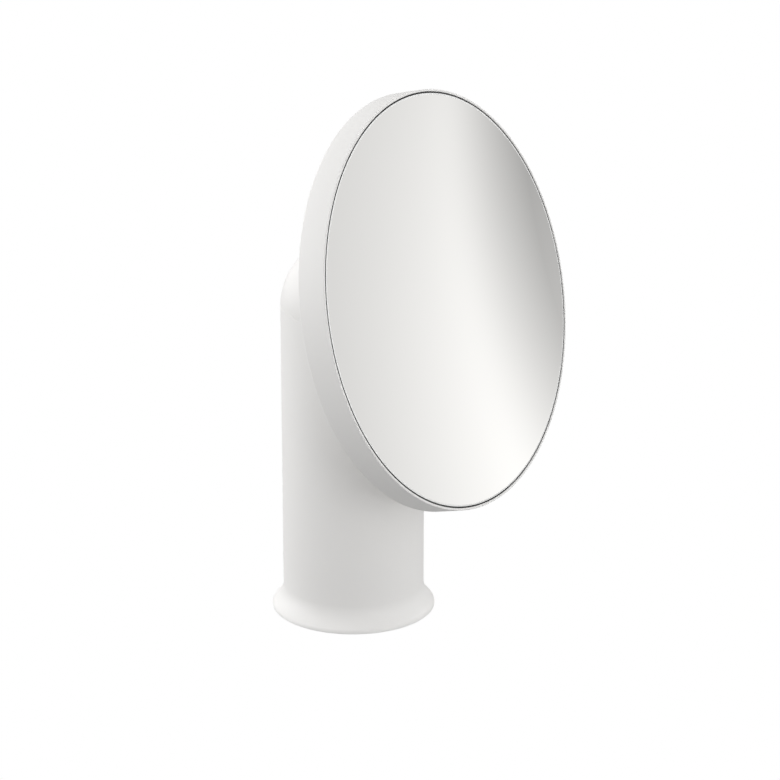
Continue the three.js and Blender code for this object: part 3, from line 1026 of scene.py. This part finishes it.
def casing_outline():
    wall = mirror_radius - LIP_WIDTH
    inner_floor = recess_plane + RECESS_FLOOR
    return [
        (0, recess_plane),
        *arc(RECESS_RADIUS - 0.5, recess_plane - 0.5, 0.5, 90, 0, 4),
        *arc(RECESS_RADIUS + 0.5, mirror_back + 0.5, 0.5, 180, 270, 4),
        *arc(mirror_radius - BACK_ROUND, mirror_back + BACK_ROUND, BACK_ROUND, -90, 0, 8),
        *arc(mirror_radius - LIP_BEVEL, mirror_front - LIP_BEVEL, LIP_BEVEL, 0, 90, 5),
        *arc(wall + 0.12, mirror_front - 0.12, 0.12, 90, 180, 3),
        (wall, mirror_back + CASING_FLOOR),
        (RECESS_RADIUS + RECESS_FLOOR, mirror_back + CASING_FLOOR),
        (RECESS_RADIUS + RECESS_FLOOR, inner_floor),
        (0, inner_floor),
    ]


def drill_back_screws(piece):
    """Drills the holes of the four screws that hold the hinge to the casing."""
    for x, y in back_screw_places:
        hole = rod("hole", BACK_SCREW_RADIUS + FIT_GAP, 40, 51)
        hole.location = Vector((x, y, 0)) * mm
        combine(piece, settle(hole))
    return piece


casing = drill_back_screws(turned("casing", casing_outline(), steps=256))
finished(into_mirror_frame(casing), "mirror", "white_paint", "mirror_casing")

# %% [markdown]
# ## The looking glass
# The glass is a sheet slumped to a shallow bowl, silvered on its face, which enlarges what is
# near. Its curve is a true arc with many rings, since a mirror shows every flat. The arris, a
# narrow band where the sharp edge was rubbed down, is painted nearly white, a painted highlight
# that shows as a bright line from every side. The ground edge behind it is dark as glass is from
# the side, and darker still with painted shade, for the shadow in the gap round the glass.

# %% Glass
GLASS_CURVE = 780.0
GLASS_THICKNESS = 2.2
GLASS_SETBACK = 0.03
GLASS_GAP = 0.8
ARRIS_WIDTH = 0.7
ARRIS_DEPTH = 0.07
glass_radius = mirror_radius - LIP_WIDTH - GLASS_GAP
glass_edge = mirror_front - GLASS_SETBACK


def bowl(start, end, depth, steps):
    """Points across the bowl at a depth behind its face, between two distances from its axis."""
    centre = glass_edge + math.sqrt(GLASS_CURVE ** 2 - glass_radius ** 2)
    radii = [start + (end - start) * i / steps for i in range(steps + 1)]
    return [(r, centre - math.sqrt((GLASS_CURVE + depth) ** 2 - r ** 2)) for r in radii]


def glass_outline():
    face_edge = bowl(glass_radius - ARRIS_WIDTH, 0, 0, 48)
    back = bowl(0, glass_radius - 0.3, GLASS_THICKNESS, 16)
    return [
        *back,
        (glass_radius, back[-1][1] + 0.3),
        (glass_radius, face_edge[0][1] - ARRIS_DEPTH),
        *face_edge,
    ]


def paint_glass(piece):
    """Silvering, the arris with its painted highlight, the ground edge darkened with painted shade and the painted
    back, by where a face is and which way it looks.
    """
    for material in (MIRROR, GLASS_EDGE_SHADE, BACKING, ARRIS):
        piece.data.materials.append(material)
    for face in piece.data.polygons:
        lean = face.normal.z
        if lean < -0.3:
            face.material_index = 2
        elif lean < 0.3:
            face.material_index = 1
        elif face.center.xy.length > (glass_radius - ARRIS_WIDTH * 0.75) * mm:
            face.material_index = 3


looking_glass = turned("looking_glass", glass_outline(), steps=256)
paint_glass(looking_glass)
into_mirror_frame(looking_glass)
finished(looking_glass, "mirror", "silvered_glass", "mirror_glass", smooth=4)

# %% [markdown]
# ## The seal
# A strip of black rubber stands between the glass and the casing's wall, a little below both. Its
# black is painted shade for the shadow down in the narrow gap, and makes the dark line all the way round.

# %% Seal
SEAL_DEPTH = 2.2


def seal_outline():
    wall = mirror_radius - LIP_WIDTH - 0.06
    return [
        (glass_radius + 0.06, mirror_front - SEAL_DEPTH), (wall, mirror_front - SEAL_DEPTH),
        (wall, mirror_front - 0.5), (wall - 0.15, mirror_front - 0.42),
        (glass_radius + 0.2, mirror_front - 0.42), (glass_radius + 0.06, mirror_front - 0.5),
    ]


# The seal's black rubber is painted shade: it fills the gap with the dark of the shadow in it.
seal = into_mirror_frame(turned("edge_seal_shade", seal_outline(), steps=256))
finished(seal, "mirror", "black_rubber", "glass_seal", smooth=50)

# %% [markdown]
# ## The foam ring
# A ring of soft foam fills the space behind the glass, so that it can't rattle in its casing. It
# is cut from sheet, and a little pressed by the glass, so its corners are round and its sides
# bulge slightly.

# %% Foam ring
FOAM_INSIDE = 55
FOAM_OUTSIDE = 85


def foam_outline():
    bottom = mirror_back + CASING_FLOOR + FIT_GAP
    under_glass = bowl(FOAM_OUTSIDE - 1, FOAM_INSIDE + 1, GLASS_THICKNESS, 6)
    top = [(radius, height - 0.35) for radius, height in under_glass]
    middle = (bottom + top[0][1]) / 2
    return [
        (FOAM_INSIDE + 1, bottom), (FOAM_OUTSIDE - 1, bottom), (FOAM_OUTSIDE - 0.3, bottom + 0.6),
        (FOAM_OUTSIDE, middle), (FOAM_OUTSIDE - 0.3, top[0][1] - 0.6), *top,
        (FOAM_INSIDE + 0.3, top[-1][1] - 0.6), (FOAM_INSIDE, middle),
        (FOAM_INSIDE + 0.3, bottom + 0.6),
    ]


foam = into_mirror_frame(turned("foam_ring", foam_outline()))
finished(foam, "mirror", "grey_foam", "foam_pad", smooth=50)

# %% [markdown]
# ## The hinge
# A pressed bracket is screwed into the recess of the casing's back. Its two ears hold the stem's
# eye between plastic washers on one pin, and the nut sets how hard the mirror is to tilt.

# %% Bracket
EAR_SIDES = (4.3, 6.5)
EAR_RADIUS = 3.6
BRACKET_X, BRACKET_Y = 14, 11
BRACKET_THICK = 1.8
bracket_front = recess_plane - FIT_GAP
bracket_back = bracket_front - BRACKET_THICK


def round_corners(piece, radius):
    """Rounds the edges of a block that run along Z."""
    edit_chosen(piece, "EDGE", lambda ends: abs((ends[0] - ends[1]).normalized().z) > 0.9)
    bpy.ops.mesh.bevel(offset=radius * mm, segments=8)
    bpy.ops.object.mode_set(mode="OBJECT")
    return piece


bracket = block(
    "bracket", (-BRACKET_X, BRACKET_X), (-BRACKET_Y, BRACKET_Y), (bracket_back, bracket_front))
round_corners(bracket, 3)
for side in (-1, 1):
    near, far = sorted(edge * side for edge in EAR_SIDES)
    combine(bracket, lug("ear", EAR_RADIUS, near, far, bracket_back + 0.9 - pin_distance), "UNION")
combine(bracket, lay_along_x(rod("pin_hole", PIN_RADIUS + FIT_GAP, -10, 10), pin_distance))
drill_back_screws(bracket)
finished(into_mirror_frame(bevel(bracket, 0.2)), "mirror", "steel", "hinge_bracket")

# %% Pin, nut, washers and bracket screws
WASHER_THICK = 0.8
pin = turned("tilt_pin", [
    (0, -8.25), (2.2, -8.25), *arc(2.2, -7.35, 0.9, -90, 0, 5)[1:], (3.1, -6.65),
    (PIN_RADIUS, -6.65), (PIN_RADIUS, 6.6), *thread(PIN_RADIUS, 6.8, 9.3, 0.5), (1.4, 9.6),
    (0, 9.6)], steps=64)
hex_drive(pin, 1.3, -9, -7.3)
finished(into_mirror_frame(lay_along_x(pin, pin_distance)), "mirror", "steel", "hinge_pin")
tilt_nut = hex_nut("tilt_nut", 3.4, PIN_RADIUS + FIT_GAP, 6.65, 9.2)
finished(into_mirror_frame(lay_along_x(tilt_nut, pin_distance)), "mirror", "steel", "pin_nut")

washer = plain_washer(
    "tilt_washer", PIN_RADIUS + FIT_GAP, 3.0, -EYE - FIT_GAP - WASHER_THICK, -EYE - FIT_GAP, 0.1)
lay_along_x(washer, pin_distance)
for number, shift in enumerate((0, 2 * (EYE + FIT_GAP) + WASHER_THICK), 1):
    copy = into_mirror_frame(copied(washer, f"tilt_washer_{number}", x=shift))
    finished(copy, "mirror", "grey_plastic", f"friction_washer_{number}")
bpy.data.objects.remove(washer)

screw = turned("back_screw", [
    (0, 42.95), (1.2, 42.97), (2.0, 43.25), (2.5, 43.75), (2.6, 44.1), (2.6, 44.4),
    (BACK_SCREW_RADIUS, 44.4),
    *thread(BACK_SCREW_RADIUS, 46.6, 48.2, 0.4), (0.9, 48.6), (0, 48.6)], steps=48)
cross_drive(screw, 1.5, 42, 43.9)
for number, (x, y) in enumerate(back_screw_places, 1):
    copy = into_mirror_frame(copied(screw, f"back_screw_{number}", x=x, y=y))
    finished(copy, "mirror", "steel", f"bracket_screw_{number}")
bpy.data.objects.remove(screw)

# %% [markdown]
# ## Finishes on what stays
# The other nodes keep their shape from the frame and only take a finish.

# %% Finishes of the frame's own nodes
slot_of_node = {row["node"]: row["material_slot"] for row in frame["record"]["subparts"]}
for name, node in frame["nodes"].items():
    for material_slot in node.material_slots:
        material_slot.material = FINISH_OF_SLOT[slot_of_node[name]]

# %% [markdown]
# ## The studio
# The mirror stands in a white studio. To the camera the floor and the far wall are pure white,
# while the light that falls on the mirror comes from soft panels all round it. Each panel is a
# lobe of the world's light, a power of the cosine to its direction, because a lobe has no edge
# that would show in the paint. A turn of 0 is behind the mirror, and 90 is to its right. The
# strengths are kept to round numbers, so that a person can change them. In the looking glass the
# same panels are softened, because a bare lamp in a mirror burns out to white.

# %% Light panels
LIGHT_PANELS = [  # turn and height in degrees, strength
    (270, 5, 3.0),
    (315, 5, 2.5),
    (135, 5, 3.5),
    (90, 5, 1.0),
    (45, 45, 2.0),
    (225, 45, 1.0),
    (270, 45, 1.0),
]
PANEL_SHARPNESS = 8
FLOOR_LIGHT = 0.4
GLASS_EXPOSURE = 0.6
GLASS_CONTRAST = 0.6
view_level = Vector((-view_back.x, -view_back.y, 0)).normalized()


def panel_direction(turn, height):
    turn, height = math.radians(turn), math.radians(height)
    level = view_level * math.cos(turn) + view_right * math.sin(turn)
    return level * math.cos(height) + Vector((0, 0, math.sin(height)))


def light_from_panels(sheet, direction):
    """Sums the soft lobes of light that reach the mirror from each side of the studio."""
    total = 0.0
    for turn, height, strength in LIGHT_PANELS:
        facing = sheet.node("ShaderNodeVectorMath", {"operation": "DOT_PRODUCT"},
                            {0: direction, 1: panel_direction(turn, height)}, output="Value")
        total = sheet.math("MAXIMUM", facing, 0.0) ** PANEL_SHARPNESS * strength + total
    return total


def seen_or_lit(sheet, seen, in_glass, lit):
    """The camera, the looking glass and the paint each meet a strength of their own."""
    camera_ray = sheet.node("ShaderNodeLightPath", output="Is Camera Ray")
    glass_ray = sheet.node("ShaderNodeLightPath", output="Is Singular Ray")
    unseen = sheet.node("ShaderNodeMix", inputs={"Factor": glass_ray, "A": lit, "B": in_glass})
    return sheet.node("ShaderNodeMix", inputs={"Factor": camera_ray, "A": unseen, "B": seen})


def room_in_glass(sheet, panels):
    """The panels as the looking glass shows them: softened, so that none burns out to white."""
    return 1 - sheet.math("EXPONENT", panels * -GLASS_EXPOSURE) * GLASS_CONTRAST


world = bpy.data.worlds.new("studio")
bpy.context.scene.world = world
world.use_nodes = True
sky = NodeSheet(world.node_tree)
direction = sky.node("ShaderNodeTexCoord", output="Generated")
background = world.node_tree.nodes["Background"]
background.inputs["Color"].default_value = (1, 1, 1, 1)
panels = light_from_panels(sky, direction)
strength = seen_or_lit(sky, 1.0, room_in_glass(sky, panels), panels)
sky.feed(background.inputs["Strength"], strength)
bpy.context.scene.view_settings.view_transform = "Standard"
bpy.context.scene.view_settings.look = "None"
print(len(LIGHT_PANELS), "panels, the strongest", max(row[2] for row in LIGHT_PANELS))

# %% [markdown]
# ## What the glass reflects
# A concave mirror gathers a small patch of the studio and spreads it over its whole face. That
# patch is a soft card off to the right, brightest along one slanting line, with a quick fall to
# the shadow on one side and a slow one on the other. It shows in reflections only.

# %% Reflected card
CARD_DISTANCE = 800 * mm
CARD_BEARING = math.radians(-36.3)
CARD_SLANT = math.radians(36)
CARD_LINE = -24.0  # place of the brightest line across the card, in millimetres
CARD_BOW = 0.0062
CARD_GLOW = 0.96
CARD_QUICK_FALL = 0.0106  # strengths lost in one millimetre
CARD_SLOW_FALL = 0.00148
CARD_LENGTHWISE_FALL = 0.00295
CARD_SHADOW = 0.38
CARD_SOFTNESS = 0.31
CARD_FALL_CHANGE = 0.00002  # how the falls change along the card, per millimetre
CARD_SHADOW_CHANGE = 0.004
CARD_DARKEST = 0.2
card_away = Vector((math.cos(CARD_BEARING), math.sin(CARD_BEARING), 0))
card_level = Vector((-card_away.y, card_away.x, 0))
card_up = Vector((0, 0, 1))
card_across = card_level * math.cos(CARD_SLANT) - card_up * math.sin(CARD_SLANT)
card_along = card_level * math.sin(CARD_SLANT) + card_up * math.cos(CARD_SLANT)


def emitting(name, strength_of):
    """A material that only glows, with a strength that a function works out in its node tree."""
    material = bpy.data.materials.new(name)
    material.use_nodes = True
    material.node_tree.nodes.clear()
    sheet = NodeSheet(material.node_tree)
    light = sheet.node("ShaderNodeEmission", inputs={"Strength": strength_of(sheet)})
    sheet.node("ShaderNodeOutputMaterial", inputs={"Surface": light})
    return material


def card_glow(sheet):
    """A ridge of light along a slightly bowed line, in millimetres across and along the card."""
    place = sheet.node("ShaderNodeTexCoord", output="Object")
    across = sheet.node("ShaderNodeSeparateXYZ", inputs={0: place}, output="X") * (1 / mm)
    along = sheet.node("ShaderNodeSeparateXYZ", inputs={0: place}, output="Y") * (1 / mm)
    off_line = along * along * CARD_BOW + across - CARD_LINE
    ridge = CARD_GLOW - along * CARD_LENGTHWISE_FALL
    to_shadow = ridge + off_line * (along * CARD_FALL_CHANGE + CARD_QUICK_FALL)
    to_room = ridge - off_line * (CARD_SLOW_FALL - along * CARD_FALL_CHANGE)
    deepest = CARD_SHADOW - along * CARD_SHADOW_CHANGE
    shadow = sheet.math("MAXIMUM", to_shadow, deepest)
    glow = sheet.math("SMOOTH_MIN", shadow, to_room, CARD_SOFTNESS)
    return sheet.math("MAXIMUM", glow, CARD_DARKEST)


bpy.ops.object.select_all(action="DESELECT")
bpy.ops.mesh.primitive_plane_add(size=1)
card = bpy.context.object
card.name = "reflected_card"
card.scale = (400 * mm, 300 * mm, 1)
only(card)
bpy.ops.object.transform_apply(scale=True)
card.rotation_mode = "QUATERNION"
card.rotation_quaternion = Matrix((card_across, card_along, card_away)).transposed().to_quaternion()
card.location = Vector((0, -50, 165)) * mm + card_away * CARD_DISTANCE
card.visible_camera = False
card.visible_diffuse = False
card.visible_shadow = False
card.data.materials.append(emitting("card_glow", card_glow))
print("card", round(CARD_DISTANCE, 2), "m off, at a slant of", round(math.degrees(CARD_SLANT)))

# %% [markdown]
# ## The floor
# The floor is a wide white sheet that gives a little light from below. It lies a hair under the
# foot, because two faces at one height would fight over which of them is seen. It is staged, so
# it isn't part of the mirror.

# %% Floor
FLOOR_SPREAD = 300 * mm
FLOOR_FAR = 0.52
FLOOR_POOL = 0.42


def floor_glow(sheet):
    """White to the camera, and a pool of light that fades outwards in the looking glass."""
    place = sheet.node("ShaderNodeTexCoord", output="Object")
    away = sheet.node("ShaderNodeVectorMath", {"operation": "LENGTH"}, {0: place}, output="Value")
    away = away * (1 / FLOOR_SPREAD)
    pool = sheet.math("EXPONENT", away * away * -1) * FLOOR_POOL + FLOOR_FAR
    return seen_or_lit(sheet, 1.0, pool, FLOOR_LIGHT)


bpy.ops.object.select_all(action="DESELECT")
bpy.ops.mesh.primitive_plane_add(size=12, location=(0, 0, -0.1 * mm))
floor = bpy.context.object
floor.name = "floor"
floor.data.materials.append(emitting("lit_paper", floor_glow))
print("floor at", round(floor.location.z / mm, 2), "mm")
